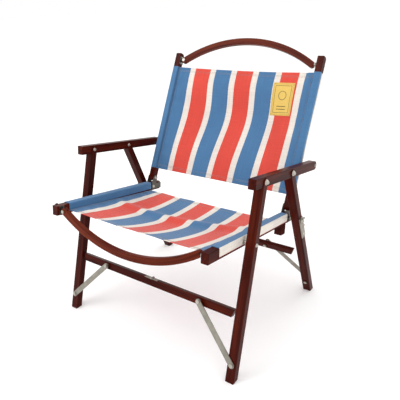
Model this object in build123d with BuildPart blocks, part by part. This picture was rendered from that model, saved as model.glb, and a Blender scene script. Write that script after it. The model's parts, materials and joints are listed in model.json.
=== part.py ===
from build123d import *
import os
from math import cos, radians, sin, tan

# Folding camp chair. Millimetres, +Z up, X across the chair, the sitter faces -Y.
# The origin is on the floor under the middle of the chair's bounding box.
# Side-view points are (y, z) pairs measured from the front leg's centreline at the floor.

# Legs
leg_outer = 290.0  # half width over the legs
leg_width = 24.0  # across the chair
leg_depth = 19.0  # front to back
front_lean = 18.4  # degrees from plumb, top to the rear
rear_lean = 19.7  # degrees from plumb, top to the front
foot_spread = 444.0  # front to rear leg on the floor, centre to centre

# Arms
arm_joint_height = 456.0  # front arm bolt above the floor
arm_slope = 10.0  # degrees, falling to the rear
arm_thickness = 20.0
arm_height = 24.0
arm_reach = 44.0  # ahead of the front arm bolt
arm_tail = 10.0  # behind the stop peg
tongue_thickness = 12.0  # part of the arm inside the leg's fork
fork_clearance = 0.1  # each side of the tongue

# Seat rails
rail_joint_height = 318.5  # front rail bolt above the floor
rail_slope = 9.5  # degrees, falling to the rear
rail_inner = 234.5  # half width between the rails
rail_thickness = 20.0
rail_height = 26.0
rail_length = 416.0
rail_reach = 140.0  # ahead of the front rail bolt

# Back
recline = 27.6  # degrees from plumb
back_pivot_behind = 10.0  # behind the rear rail bolt, along the rail
back_pivot_lift = 27.0  # above the rail's centreline
upright_side_gap = 0.6  # to each bracket cheek
upright_depth = 20.0
upright_length = 418.0  # above the back pivot
upright_tip_rear = 8.0  # rounding of the upright's tip
upright_tip_front = 3.0

# Fabric
fabric_thickness = 1.3
fabric_clearance = 0.1
seat_hem_front = 40.0  # from the rail's front end
seat_hem_gap = 0.6  # rear hem to the bracket's cheeks
sleeve_drop = 20.0  # fabric down each side of the rail
seat_sag = 28.0
back_hem_low = 33.0  # from the back pivot
back_hem_high = 373.0
back_sag = 36.0
back_panel_front = 8.0  # panel's edges ahead of the upright's centreline
panel_thickness = 2.0
seat_level = 4.0  # seat panel's edges below the rail's centreline
panel_gap = 0.5  # to the sleeves
patch_width = 68.0
patch_height = 92.0
patch_offset = 150.0  # patch centre from the chair's middle
patch_level = 296.0  # patch centre above the back pivot
patch_thickness = 0.8

# Bows
bow_height = 18.0
bow_thickness = 14.0
bow_sag = 64.0
pivot_inset = 15.0  # bow pivots from the rails' inner faces
front_bow_station = 14.0  # from the rail's front end
rear_bow_ahead = 28.0  # ahead of the rear rail bolt
rear_bow_drop = 27.0  # below the rail's centreline
top_bow_station = 395.0  # from the back pivot
block_length = 24.0
bow_pin_diameter = 6.0
bow_pin_reach = 6.0  # into the slot
bow_pin_seat = 10.0  # inside the bow
slot_clearance = 0.3  # each side of the pin
slot_depth = 10.0
collar_diameter = 12.0
collar_length = 2.0

# Spreader
pivot_height = 45.0  # link pivot on the leg, up the leg's face
bar_pivot_height = 165.0
bar_pivot_offset = 162.0  # link pivot on the bar from the chair's middle
bar_height = 20.0
bar_thickness = 12.0
bar_setback = 6.0  # behind the leg's face
bar_end_top = 4.0  # bar's end to the leg
bar_end_bottom = 12.0
rear_bar_trim = 8.0  # off each rear bar's outer end, clears the seat rails while folding
bar_middle_gap = 0.3
link_width = 15.0
link_thickness = 2.5
link_gap = 0.3
hinge_lift = 0.5  # hinge pin above the bar's top edge
knuckle_diameter = 6.0
knuckle_clearance = 0.3
hinge_pin_diameter = 3.0
leaf_length = 22.0
leaf_thickness = 1.5
hinge_rebate = 4.0

# Metal fittings
bolt_diameter = 5.0
bolt_hole_clearance = 0.1  # radial, fixed bolts
running_clearance = 0.05  # radial, turning pins
open_pivot_clearance = 0.5  # radial, the one pivot left free in the closed spreader
link_bolt_diameter = 6.0
head_diameter = 9.5
head_height = 2.5
nut_height = 3.0
sheet_steel = 2.0
tang_thickness = 3.0
tang_radius = 7.0
tang_root = 4.5  # half height where the tang meets its base
tang_gap = 0.3  # each side of the tang, inside the bow's slot
bow_slot_reach = 12.0  # beyond the pivot, into the bow
hinge_base_height = 25.0
hinge_base_width = 16.0
hinge_screw_pitch = 17.0
hinge_screw_head = 6.5
bow_head_gap = 0.3
screw_depth = 12.0  # into the wood
spacer_diameter = 10.0
link_collar_diameter = 11.0
bracket_width = 18.0
stop_peg_diameter = 8.0
stop_gap = 0.3
plate_length = 70.0
plate_top = 10.0  # above the rear rail bolt
plate_bolt_foot = 12.0  # lower bolt above the plate's end
wing_base_diameter = 11.0
wing_base_height = 5.0
wing_span = 26.0
wing_thickness = 2.5
wing_gap = 0.3
bolt_tail = 1.5
edge_round = 1.5

sides = (("left", -1), ("right", 1))

# Derived sizes
leg_inner = leg_outer - leg_width
leg_middle = leg_outer - leg_width / 2
arm_inner = leg_middle - arm_thickness / 2
arm_outer = leg_middle + arm_thickness / 2
fork_inner = leg_middle - tongue_thickness / 2
fork_outer = leg_middle + tongue_thickness / 2
rail_outer = rail_inner + rail_thickness
upright_inner = rail_inner + upright_side_gap
upright_outer = rail_outer - upright_side_gap
sleeve_build = fabric_clearance + fabric_thickness
front_angle = 90.0 - front_lean
rear_angle = 90.0 + rear_lean
arm_angle = -arm_slope
rail_angle = -rail_slope
back_angle = 90.0 - recline


def along(point, angle, distance, offset=0.0):
    # Side-view point along a member and off to its upper or front side.
    turn = radians(angle)
    return (
        point[0] + distance * cos(turn) - offset * sin(turn),
        point[1] + distance * sin(turn) + offset * cos(turn),
    )


def crossing(point, angle, other, other_angle):
    # Distance along one member to where it meets another.
    turn, other_turn = radians(angle), radians(other_angle)
    ahead, above = other[0] - point[0], other[1] - point[1]
    return (ahead * sin(other_turn) - above * cos(other_turn)) / sin(other_turn - turn)


# Joints in side view
front_foot = (0.0, 0.0)
rear_foot = (foot_spread, 0.0)
front_leg_length = arm_joint_height / cos(radians(front_lean))
front_arm_joint = along(front_foot, front_angle, front_leg_length)
rear_leg_length = crossing(rear_foot, rear_angle, front_arm_joint, arm_angle)
rear_arm_joint = along(rear_foot, rear_angle, rear_leg_length)
front_rail_joint = along(front_foot, front_angle, rail_joint_height / cos(radians(front_lean)))
rail_start = along(front_rail_joint, rail_angle, -rail_reach)
rear_joint_station = crossing(rail_start, rail_angle, rear_foot, rear_angle)
rear_rail_joint = along(rail_start, rail_angle, rear_joint_station)
back_pivot_station = rear_joint_station + back_pivot_behind
seat_hem_rear = rear_joint_station - bracket_width / 2 - seat_hem_gap
rear_bow_station = rear_joint_station - rear_bow_ahead
back_pivot = along(rail_start, rail_angle, back_pivot_station, back_pivot_lift)
front_bow_point = along(rail_start, rail_angle, front_bow_station)
rear_bow_point = along(rail_start, rail_angle, rear_bow_station, -rear_bow_drop)
top_bow_point = along(back_pivot, back_angle, top_bow_station)

# The stop peg lies on the arm's centreline and touches the upright's rear side.
peg_offset = upright_depth / 2 + sleeve_build + stop_gap + stop_peg_diameter / 2
peg_line = along(back_pivot, back_angle, 0.0, -peg_offset)
peg_station = crossing(front_arm_joint, arm_angle, peg_line, back_angle)
stop_peg_point = along(front_arm_joint, arm_angle, peg_station)

# Bounding box in side view: the front bow's lower edge and the top bow's crown.
bow_reach = bow_sag + bow_height / 2
front_most = along(front_bow_point, rail_angle, -bow_thickness / 2, -bow_reach)[0]
rear_most = along(top_bow_point, back_angle, bow_reach, -bow_thickness / 2)[0]
depth_middle = (front_most + rear_most) / 2


def member_plane(x, point, angle):
    # Plane facing +X whose local x runs along a member and local y to its upper or front side.
    turn = radians(angle)
    return Plane(
        origin=(x, point[0] - depth_middle, point[1]),
        x_dir=(0, cos(turn), sin(turn)),
        z_dir=(1, 0, 0),
    )


def side_plane(side, inner, outer, point, angle):
    # The member plane at the lower-x face of a piece between two half widths.
    return member_plane(min(side * inner, side * outer), point, angle)


def bar_across(side, point, inner, outer, diameter, mode=Mode.ADD):
    # Round bar along X through a side-view point, between two half widths.
    with Locations(side_plane(side, inner, outer, point, 0)):
        Cylinder(diameter / 2, outer - inner, align=(Align.CENTER, Align.CENTER, Align.MIN), mode=mode)


def dome_across(side, point, face, diameter, height):
    # Domed head that sits on a face at a half width; a negative height points inwards.
    axis_x = side if height > 0 else -side
    seat = Plane(origin=(side * face, point[0] - depth_middle, point[1]), z_dir=(axis_x, 0, 0))
    with Locations(seat):
        Cone(diameter / 2, diameter / 3, abs(height), align=(Align.CENTER, Align.CENTER, Align.MIN))


def finish(piece, label):
    piece.part.label = label
    export_step(piece.part, f"parts/{label}.step")


# Legs, arms and their fork joints


def leg_outline(length, angle, grow=0.0):
    # Closed leg profile from the floor to its rounded top, as a private sketch.
    half = leg_depth / 2 + grow
    cut = half / tan(radians(angle))
    with BuildSketch(mode=Mode.PRIVATE) as outline:
        with BuildLine():
            Polyline((length, half), (-cut, half), (cut, -half), (length, -half))
            ThreePointArc((length, -half), (length + half, 0), (length, half))
        make_face()
    return outline.sketch


def fork_cut(side, point):
    # Slot for the arm's tongue, open at the leg's top.
    inner, outer = fork_inner - fork_clearance, fork_outer + fork_clearance
    seat = along(point, arm_angle, 0, -arm_height / 2)
    with Locations(side_plane(side, inner, outer, seat, arm_angle)):
        Box(
            4 * leg_depth,
            2 * arm_height,
            outer - inner,
            align=(Align.CENTER, Align.MIN, Align.MIN),
            mode=Mode.SUBTRACT,
        )


front_face = Plane(
    origin=(0, -leg_depth / 2 / cos(radians(front_lean)) - depth_middle, 0),
    x_dir=(1, 0, 0),
    z_dir=(0, -cos(radians(front_lean)), sin(radians(front_lean))),
)
rear_face = Plane(
    origin=(0, foot_spread + leg_depth / 2 / cos(radians(rear_lean)) - depth_middle, 0),
    x_dir=(1, 0, 0),
    z_dir=(0, -cos(radians(rear_lean)), -sin(radians(rear_lean))),
)


def layer(face, outward, near, far):
    # Plane from which an extrusion covers two distances out from the leg's face.
    return face.offset(min(outward * near, outward * far))


def bar_through(face, outward, place, near, far, diameter, mode=Mode.ADD):
    # Round bar square to a leg face between two distances out from it.
    with Locations(layer(face, outward, near, far)):
        with Locations((place[0], place[1], 0)):
            Cylinder(diameter / 2, far - near, align=(Align.CENTER, Align.CENTER, Align.MIN), mode=mode)


def make_leg(side, foot, angle, length, face, outward, pivot_clearance, cross_points):
    with BuildPart() as leg:
        with BuildSketch(side_plane(side, leg_inner, leg_outer, foot, angle)):
            add(leg_outline(length, angle))
        extrude(amount=leg_width)
        fillet(leg.faces().filter_by(Axis.X).edges(), edge_round)
        fork_cut(side, along(foot, angle, length))
        for point in cross_points:
            hole = bolt_diameter + 2 * bolt_hole_clearance
            bar_across(side, point, leg_inner, leg_outer, hole, Mode.SUBTRACT)
        bar_through(
            face,
            outward,
            (side * leg_middle, pivot_height),
            -2 * leg_depth,
            leg_depth,
            link_bolt_diameter + 2 * pivot_clearance,
            Mode.SUBTRACT,
        )
    return leg


def make_arm(side):
    tail = peg_station + arm_tail
    with BuildPart() as arm:
        with BuildSketch(side_plane(side, arm_inner, arm_outer, front_arm_joint, arm_angle)):
            with BuildLine():
                half = arm_height / 2
                nose = -arm_reach
                end = tail - half
                Polyline((end, half), (nose, half), (nose, -half), (end, -half))
                ThreePointArc((end, -half), (tail, 0), (end, half))
            make_face()
        extrude(amount=arm_thickness)
        fillet(arm.faces().filter_by(Axis.X).edges(), edge_round)
        for foot, angle, length in (
            (front_foot, front_angle, front_leg_length),
            (rear_foot, rear_angle, rear_leg_length),
        ):
            for inner, outer in ((leg_inner, fork_inner), (fork_outer, leg_outer)):
                with BuildSketch(side_plane(side, inner, outer, foot, angle)):
                    add(leg_outline(length, angle, fork_clearance))
                extrude(amount=outer - inner, mode=Mode.SUBTRACT)
        for point in (front_arm_joint, rear_arm_joint):
            hole = bolt_diameter + 2 * bolt_hole_clearance
            bar_across(side, point, arm_inner, arm_outer, hole, Mode.SUBTRACT)
        bar_across(side, stop_peg_point, arm_inner, arm_outer, stop_peg_diameter, Mode.SUBTRACT)
    return arm


plate_foot_point = along(rear_rail_joint, rear_angle, plate_top - plate_length + plate_bolt_foot)
front_crossings = (front_arm_joint, front_rail_joint)
rear_crossings = (rear_arm_joint, rear_rail_joint, plate_foot_point)

# Seat rails, bow blocks and uprights


def bow_slot(side, point, angle, face, open_length):
    # Slot for a bow pin, from the pin's place to the open edge on the bulge side.
    width = bow_pin_diameter + 2 * slot_clearance
    bar_across(side, point, face, face + slot_depth, width, Mode.SUBTRACT)
    with Locations(side_plane(side, face, face + slot_depth, point, angle)):
        Box(
            open_length,
            width,
            slot_depth,
            align=(Align.MIN, Align.CENTER, Align.MIN),
            mode=Mode.SUBTRACT,
        )


def hinge_screw_holes(point, bulge_angle, face, depth):
    # Two holes in a left-hand member for the fasteners of a bow's hinge.
    hole = bolt_diameter + 2 * bolt_hole_clearance
    for offset in (-hinge_screw_pitch / 2, hinge_screw_pitch / 2):
        bar_across(-1, along(point, bulge_angle, offset), face, face + depth, hole, Mode.SUBTRACT)


def make_rail(side):
    with BuildPart() as rail:
        with BuildSketch(side_plane(side, rail_inner, rail_outer, rail_start, rail_angle)):
            Rectangle(rail_length, rail_height, align=(Align.MIN, Align.CENTER))
        extrude(amount=rail_thickness)
        fillet(rail.faces().filter_by(Axis.X).edges(), edge_round)
        for point in (front_rail_joint, rear_rail_joint):
            hole = bolt_diameter + 2 * bolt_hole_clearance
            bar_across(side, point, rail_inner, rail_outer, hole, Mode.SUBTRACT)
        recess = head_diameter + 2 * bolt_hole_clearance
        bar_across(side, front_rail_joint, rail_inner, rail_inner + head_height, recess, Mode.SUBTRACT)
        if side > 0:
            bow_slot(side, front_bow_point, rail_angle - 90, rail_inner, rail_height)
        else:
            hinge_screw_holes(front_bow_point, rail_angle - 90, rail_inner, rail_thickness)
    return rail


def make_block(side):
    with BuildPart() as block:
        with BuildSketch(side_plane(side, rail_inner, rail_outer, rear_bow_point, rail_angle)):
            Rectangle(block_length, 2 * rear_bow_drop - rail_height)
        extrude(amount=rail_thickness)
        fillet(block.edges().filter_by(Axis.X), edge_round)
        if side > 0:
            bow_slot(side, rear_bow_point, rail_angle - 90, rail_inner, rail_height)
        else:
            hinge_screw_holes(rear_bow_point, rail_angle - 90, rail_inner, screw_depth)
    return block


def make_upright(side):
    with BuildPart() as upright:
        with BuildSketch(side_plane(side, upright_inner, upright_outer, back_pivot, back_angle)):
            with BuildLine():
                half = upright_depth / 2
                top = upright_length
                ThreePointArc((0, half), (-half, 0), (0, -half))
                Line((0, -half), (top - upright_tip_rear, -half))
                RadiusArc(
                    (top - upright_tip_rear, -half),
                    (top, upright_tip_rear - half),
                    -upright_tip_rear,
                )
                Line((top, upright_tip_rear - half), (top, half - upright_tip_front))
                RadiusArc(
                    (top, half - upright_tip_front),
                    (top - upright_tip_front, half),
                    -upright_tip_front,
                )
                Line((top - upright_tip_front, half), (0, half))
            make_face()
        extrude(amount=upright_outer - upright_inner)
        fillet(upright.faces().filter_by(Axis.X).edges(), edge_round)
        hole = bolt_diameter + 2 * running_clearance
        bar_across(side, back_pivot, upright_inner, upright_outer, hole, Mode.SUBTRACT)
        if side > 0:
            bow_slot(side, top_bow_point, back_angle, upright_inner, upright_length)
        else:
            hinge_screw_holes(top_bow_point, back_angle, upright_inner, screw_depth)
    return upright


# Fabric sleeves and panels


def make_seat_sleeve(side):
    inner, outer = rail_inner - fabric_clearance, rail_outer + fabric_clearance
    length = seat_hem_rear - seat_hem_front
    start = along(rail_start, rail_angle, seat_hem_front, rail_height / 2 + fabric_clearance)
    skin = fabric_thickness
    with BuildPart() as sleeve:
        with BuildSketch(side_plane(side, inner - skin, outer + skin, start, rail_angle)):
            with Locations((0, skin)):
                Rectangle(length, sleeve_drop + skin, align=(Align.MIN, Align.MAX))
        extrude(amount=outer - inner + 2 * skin)
        with BuildSketch(side_plane(side, inner, outer, start, rail_angle)):
            Rectangle(length, sleeve_drop, align=(Align.MIN, Align.MAX))
        extrude(amount=outer - inner, mode=Mode.SUBTRACT)
        hole = spacer_diameter + 2 * bolt_hole_clearance
        bar_across(side, front_rail_joint, outer - skin, outer + 2 * skin, hole, Mode.SUBTRACT)
    return sleeve


def make_back_sleeve(side):
    inner, outer = upright_inner - fabric_clearance, upright_outer + fabric_clearance
    length = back_hem_high - back_hem_low
    start = along(back_pivot, back_angle, back_hem_low)
    depth = upright_depth + 2 * fabric_clearance
    skin = fabric_thickness
    with BuildPart() as sleeve:
        with BuildSketch(side_plane(side, inner - skin, outer + skin, start, back_angle)):
            Rectangle(length, depth + 2 * skin, align=(Align.MIN, Align.CENTER))
        extrude(amount=outer - inner + 2 * skin)
        with BuildSketch(side_plane(side, inner, outer, start, back_angle)):
            Rectangle(length, depth, align=(Align.MIN, Align.CENTER))
        extrude(amount=outer - inner, mode=Mode.SUBTRACT)
    return sleeve


def cross_plane(point, angle):
    # Plane square to a member: local x is X and local y is the member's upper or front side.
    turn = radians(angle)
    return Plane(
        origin=(0, point[0] - depth_middle, point[1]),
        x_dir=(1, 0, 0),
        z_dir=(0, -cos(turn), -sin(turn)),
    )


def make_panel(start, angle, length, half_width, sag, lift=0.0, thickness=panel_thickness, span=None):
    # Sheet that hangs in an arc between the side members; span limits it to a part of the width.
    radius = (half_width**2 + sag**2) / (2 * sag)
    with BuildPart() as panel:
        with BuildSketch(cross_plane(along(start, angle, length), angle)):
            with BuildLine():
                low, high = lift, lift + thickness
                ThreePointArc((-half_width, low), (0, low - sag), (half_width, low))
                Line((half_width, low), (half_width, high))
                ThreePointArc((half_width, high), (0, high - sag), (-half_width, high))
                Line((-half_width, high), (-half_width, low))
            make_face()
            if span:
                with Locations(((span[0] + span[1]) / 2, 0)):
                    Rectangle(span[1] - span[0], 2 * radius, mode=Mode.INTERSECT)
        extrude(amount=length)
    return panel


# Bows with their pins, hinges and fasteners


def bow_plane(point, bulge_angle, shift=0.0):
    # Plane of a bow: local x is X, local y its bulge and local z its hinge axis.
    turn = radians(bulge_angle)
    return Plane(
        origin=(0, point[0] - depth_middle, point[1]),
        x_dir=(1, 0, 0),
        z_dir=(0, -sin(turn), cos(turn)),
    ).offset(shift)


bow_pivot = rail_inner - pivot_inset
pin_start = bow_pivot - bow_pin_seat


def pin_bar(plane, start, end, diameter, mode=Mode.ADD):
    # Round bar along X in a bow's plane.
    axis = Plane(origin=plane.from_local_coords((start, 0, 0)), z_dir=(1, 0, 0))
    with Locations(axis):
        Cylinder(diameter / 2, end - start, align=(Align.CENTER, Align.CENTER, Align.MIN), mode=mode)


def post_bar(plane, x, low, high, diameter, mode=Mode.ADD):
    # Round bar along a bow's hinge axis.
    with Locations(plane):
        with Locations((x, 0, low)):
            Cylinder(diameter / 2, high - low, align=(Align.CENTER, Align.CENTER, Align.MIN), mode=mode)


def make_bow(point, bulge_angle):
    centre_line = ThreePointArc((-bow_pivot, 0), (0, bow_sag), (bow_pivot, 0))
    plane = bow_plane(point, bulge_angle)
    with BuildPart() as bow:
        with BuildSketch(plane.offset(-bow_thickness / 2)):
            SlotArc(centre_line, bow_height)
        extrude(amount=bow_thickness)
        flat_faces = bow.faces().filter_by(Axis(plane.origin, plane.z_dir))
        fillet(flat_faces.edges(), edge_round)
        hole = bolt_diameter + 2 * running_clearance
        post_bar(plane, -bow_pivot, -bow_thickness, bow_thickness, hole, Mode.SUBTRACT)
        pin_bar(plane, pin_start, rail_inner, bow_pin_diameter, Mode.SUBTRACT)
        slot_half = tang_thickness / 2 + tang_gap
        with BuildSketch(plane.offset(-slot_half)):
            with Locations((bow_slot_reach - bow_pivot, 0)):
                Rectangle(4 * bow_height, 4 * bow_height, align=(Align.MAX, Align.CENTER))
        extrude(amount=2 * slot_half, mode=Mode.SUBTRACT)
    return bow


def make_bow_pin(point, bulge_angle, face):
    plane = bow_plane(point, bulge_angle)
    with BuildPart() as pin:
        pin_bar(plane, pin_start, face + bow_pin_reach, bow_pin_diameter)
        collar = bow_pivot + bow_height / 2
        pin_bar(plane, collar, collar + collar_length, collar_diameter)
    return pin


def make_bow_hinges(places):
    # Steel base plate on the member with a tang that the bow's slotted end straddles.
    with BuildPart() as hinges:
        for point, bulge_angle, face in places:
            plane = bow_plane(point, bulge_angle)
            with BuildSketch(plane.offset(-hinge_base_width / 2)):
                with Locations((-face, 0)):
                    Rectangle(sheet_steel, hinge_base_height, align=(Align.MIN, Align.CENTER))
            extrude(amount=hinge_base_width)
            with BuildSketch(plane.offset(-tang_thickness / 2)):
                with Locations((-face, 0)):
                    Rectangle(face - bow_pivot, 2 * tang_root, align=(Align.MIN, Align.CENTER))
                with Locations((-bow_pivot, 0)):
                    Circle(tang_radius)
            extrude(amount=tang_thickness)
            hole = bolt_diameter + 2 * bolt_hole_clearance
            post_bar(plane, -bow_pivot, -tang_thickness, tang_thickness, hole, Mode.SUBTRACT)
            for offset in (-hinge_screw_pitch / 2, hinge_screw_pitch / 2):
                spot = along(point, bulge_angle, offset)
                bar_across(-1, spot, face - sheet_steel, face, hole, Mode.SUBTRACT)
    return hinges


def make_bow_bolts(places):
    near = bow_thickness / 2 + bow_head_gap
    with BuildPart() as bolts:
        for point, bulge_angle in places:
            plane = bow_plane(point, bulge_angle)
            post_bar(plane, -bow_pivot, -near, near, bolt_diameter)
            post_bar(plane, -bow_pivot, near, near + head_height, head_diameter)
            post_bar(plane, -bow_pivot, -near - head_height, -near, head_diameter)
    return bolts


def make_hinge_screws(point, angle, face, depth, through):
    # Two fasteners through a hinge's base plate; cap nuts outside where they go right through.
    with BuildPart() as bolts:
        for offset in (-hinge_screw_pitch / 2, hinge_screw_pitch / 2):
            spot = along(point, angle, offset)
            bar_across(-1, spot, face - sheet_steel, face + depth, bolt_diameter)
            dome_across(-1, spot, face - sheet_steel, hinge_screw_head, -head_height / 2)
            if through:
                dome_across(-1, spot, face + depth, head_diameter, 2 * nut_height)
    return bolts


# Spreader: two folding bars, one between the front legs and one between the rear legs

bar_top = bar_pivot_height + bar_height / 2
bar_bottom = bar_pivot_height - bar_height / 2
bar_near = -bar_setback - bar_thickness
hinge_height = bar_top + hinge_lift
link_near = link_gap
link_far = link_gap + link_thickness
knuckle_split = bar_thickness / 3


def make_bar(face, outward, side, trim):
    reach = leg_inner - trim
    with BuildPart() as bar:
        with BuildSketch(layer(face, outward, bar_near, -bar_setback)):
            with BuildLine():
                Polyline(
                    (side * bar_middle_gap, bar_bottom),
                    (side * (reach - bar_end_bottom), bar_bottom),
                    (side * (reach - bar_end_top), bar_top),
                    (side * bar_middle_gap, bar_top),
                    close=True,
                )
            make_face()
            with Locations((0, bar_top)):
                Rectangle(2 * hinge_rebate, 2 * hinge_rebate, mode=Mode.SUBTRACT)
                Rectangle(2 * leaf_length, 2 * leaf_thickness, mode=Mode.SUBTRACT)
        extrude(amount=bar_thickness)
        fillet(bar.edges().filter_by(Axis.X).group_by(Axis.Z)[0], edge_round)
        hole = link_bolt_diameter + 2 * running_clearance
        place = (side * bar_pivot_offset, bar_pivot_height)
        bar_through(face, outward, place, bar_near - 1, -bar_setback + 1, hole, Mode.SUBTRACT)
    return bar


def make_link(face, outward, side):
    start = (side * leg_middle, pivot_height)
    end = (side * bar_pivot_offset, bar_pivot_height)
    hole = link_bolt_diameter + 2 * bolt_hole_clearance
    centre_line = Line(start, end)
    with BuildPart() as link:
        with BuildSketch(layer(face, outward, link_near, link_far)):
            SlotArc(centre_line, link_width)
        extrude(amount=link_thickness)
        for place in (start, end):
            bar_through(face, outward, place, 0, leg_depth, hole, Mode.SUBTRACT)
    return link


def make_link_bolts(face, outward, side):
    # One bolt through the leg, one through the bar with a collar that fills the setback.
    leg_place = (side * leg_middle, pivot_height)
    bar_place = (side * bar_pivot_offset, bar_pivot_height)
    head_end = link_far + head_height
    with BuildPart() as bolts:
        for place, back in ((leg_place, -leg_depth), (bar_place, bar_near)):
            nut_face = back - link_gap
            bar_through(face, outward, place, nut_face - nut_height, link_far, link_bolt_diameter)
            bar_through(face, outward, place, link_far, head_end, head_diameter)
            bar_through(face, outward, place, nut_face - nut_height, nut_face, head_diameter)
        bar_through(face, outward, bar_place, link_gap - bar_setback, link_near, link_collar_diameter)
    return bolts


def make_leaf(face, outward, side):
    # Hinge leaf let into the bar's top; the left leaf has the outer knuckles and the pin.
    half_gap = knuckle_clearance / 2
    if side < 0:
        outer_width = knuckle_split - half_gap
        knuckles = ((bar_near, outer_width), (bar_near + 2 * knuckle_split + half_gap, outer_width))
    else:
        knuckles = ((bar_near + knuckle_split + half_gap, knuckle_split - knuckle_clearance),)
    radius = knuckle_diameter / 2
    plate_end = radius + knuckle_clearance
    pin_hole = hinge_pin_diameter + 2 * running_clearance
    with BuildPart() as leaf:
        with BuildSketch(layer(face, outward, bar_near, -bar_setback)):
            with Locations((side * plate_end, bar_top)):
                edge = Align.MIN if side > 0 else Align.MAX
                Rectangle(leaf_length - plate_end, leaf_thickness, align=(edge, Align.MAX))
        extrude(amount=bar_thickness)
        for near, width in knuckles:
            with BuildSketch(layer(face, outward, near, near + width)):
                with Locations((0, hinge_height)):
                    Circle(radius)
                with Locations((side * hinge_pin_diameter / 2, bar_top)):
                    Rectangle(plate_end, leaf_thickness, align=(edge, Align.MAX))
            extrude(amount=width)
        place = (0, hinge_height)
        if side < 0:
            bar_through(face, outward, place, bar_near, -bar_setback, hinge_pin_diameter)
        else:
            bar_through(face, outward, place, bar_near, -bar_setback, pin_hole, Mode.SUBTRACT)
    return leaf


# Fasteners, brackets and wing nuts of the side frames

clamp_inner = rail_inner - sheet_steel
clamp_outer = rail_outer + sheet_steel
plate_outer = leg_outer + sheet_steel
wing_inner = plate_outer + wing_gap
wing_outer = wing_inner + wing_base_height


def make_arm_bolts(side):
    with BuildPart() as bolts:
        for point in (front_arm_joint, rear_arm_joint):
            bar_across(side, point, leg_inner, leg_outer, bolt_diameter)
            dome_across(side, point, leg_inner, head_diameter, -head_height)
            dome_across(side, point, leg_outer, head_diameter, nut_height)
    return bolts


def make_rail_bolts(side):
    with BuildPart() as bolts:
        # Front rail bolt: head let into the rail, spacer, nut outside the leg
        bar_across(side, front_rail_joint, rail_inner, leg_outer, bolt_diameter)
        bar_across(side, front_rail_joint, rail_inner, rail_inner + head_height, head_diameter)
        bar_across(side, front_rail_joint, rail_outer, leg_inner, spacer_diameter)
        dome_across(side, front_rail_joint, leg_outer, head_diameter, nut_height)
        # Rear rail bolt: head inside the bracket, spacer, long tail for the wing nut
        bar_across(side, rear_rail_joint, clamp_inner, wing_outer + bolt_tail, bolt_diameter)
        bar_across(side, rear_rail_joint, clamp_outer, leg_inner, spacer_diameter)
        dome_across(side, rear_rail_joint, clamp_inner, head_diameter, -head_height)
        # Plate bolt through the rear leg
        bar_across(side, plate_foot_point, leg_inner, plate_outer, bolt_diameter)
        dome_across(side, plate_foot_point, leg_inner, head_diameter, -nut_height)
        dome_across(side, plate_foot_point, plate_outer, head_diameter, head_height)
        # Pivot bolt of the back
        bar_across(side, back_pivot, clamp_inner, clamp_outer, bolt_diameter)
        dome_across(side, back_pivot, clamp_inner, head_diameter, -head_height)
        dome_across(side, back_pivot, clamp_outer, head_diameter, nut_height)
    return bolts


def make_plate(side):
    start = along(rear_rail_joint, rear_angle, plate_top - plate_length)
    with BuildPart() as plate:
        with BuildSketch(side_plane(side, leg_outer, plate_outer, start, rear_angle)):
            Rectangle(plate_length, leg_depth, align=(Align.MIN, Align.CENTER))
        extrude(amount=sheet_steel)
        fillet(plate.edges().filter_by(Axis.X), edge_round)
        for point in (rear_rail_joint, plate_foot_point):
            hole = bolt_diameter + 2 * bolt_hole_clearance
            bar_across(side, point, leg_outer, plate_outer, hole, Mode.SUBTRACT)
    return plate


def make_stop_peg(side):
    with BuildPart() as peg:
        bar_across(side, stop_peg_point, rail_inner, arm_outer, stop_peg_diameter)
        dome_across(side, stop_peg_point, arm_outer, head_diameter, head_height)
    return peg


def make_back_bracket(side):
    # Two cheeks joined by a strap round the rail's rear end; each rises to the back pivot.
    rear = rail_length + sheet_steel
    centre_line = Line((rear_joint_station, 0), (back_pivot_station, back_pivot_lift))
    with BuildPart() as bracket:
        with BuildSketch(side_plane(side, clamp_inner, clamp_outer, rail_start, rail_angle)):
            SlotArc(centre_line, bracket_width)
            with Locations((rear_joint_station, 0)):
                Rectangle(rear - rear_joint_station, bracket_width, align=(Align.MIN, Align.CENTER))
        extrude(amount=clamp_outer - clamp_inner)
        with BuildSketch(side_plane(side, rail_inner, rail_outer, rail_start, rail_angle)):
            Rectangle(rail_length, 4 * rail_height, align=(Align.MIN, Align.CENTER))
        extrude(amount=rail_thickness, mode=Mode.SUBTRACT)
        hole = bolt_diameter + 2 * bolt_hole_clearance
        for point in (rear_rail_joint, back_pivot):
            bar_across(side, point, clamp_inner, clamp_outer, hole, Mode.SUBTRACT)
    return bracket


def make_wing_nut(side):
    with BuildPart() as nut:
        bar_across(side, rear_rail_joint, wing_inner, wing_outer, wing_base_diameter)
        with BuildSketch(side_plane(side, wing_inner, wing_outer, rear_rail_joint, 90)):
            Rectangle(wing_span, wing_thickness)
        extrude(amount=wing_base_height)
        hole = bolt_diameter + 2 * running_clearance
        bar_across(side, rear_rail_joint, wing_inner, wing_outer, hole, Mode.SUBTRACT)
    return nut


os.makedirs("parts", exist_ok=True)

chains = (("front", front_face, 1, 0), ("rear", rear_face, -1, rear_bar_trim))
bow_angle = rail_angle - 90
seat_bows = (
    (front_bow_point, bow_angle, rail_inner),
    (rear_bow_point, bow_angle, rail_inner),
)
top_bow = (top_bow_point, back_angle, upright_inner)

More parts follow.
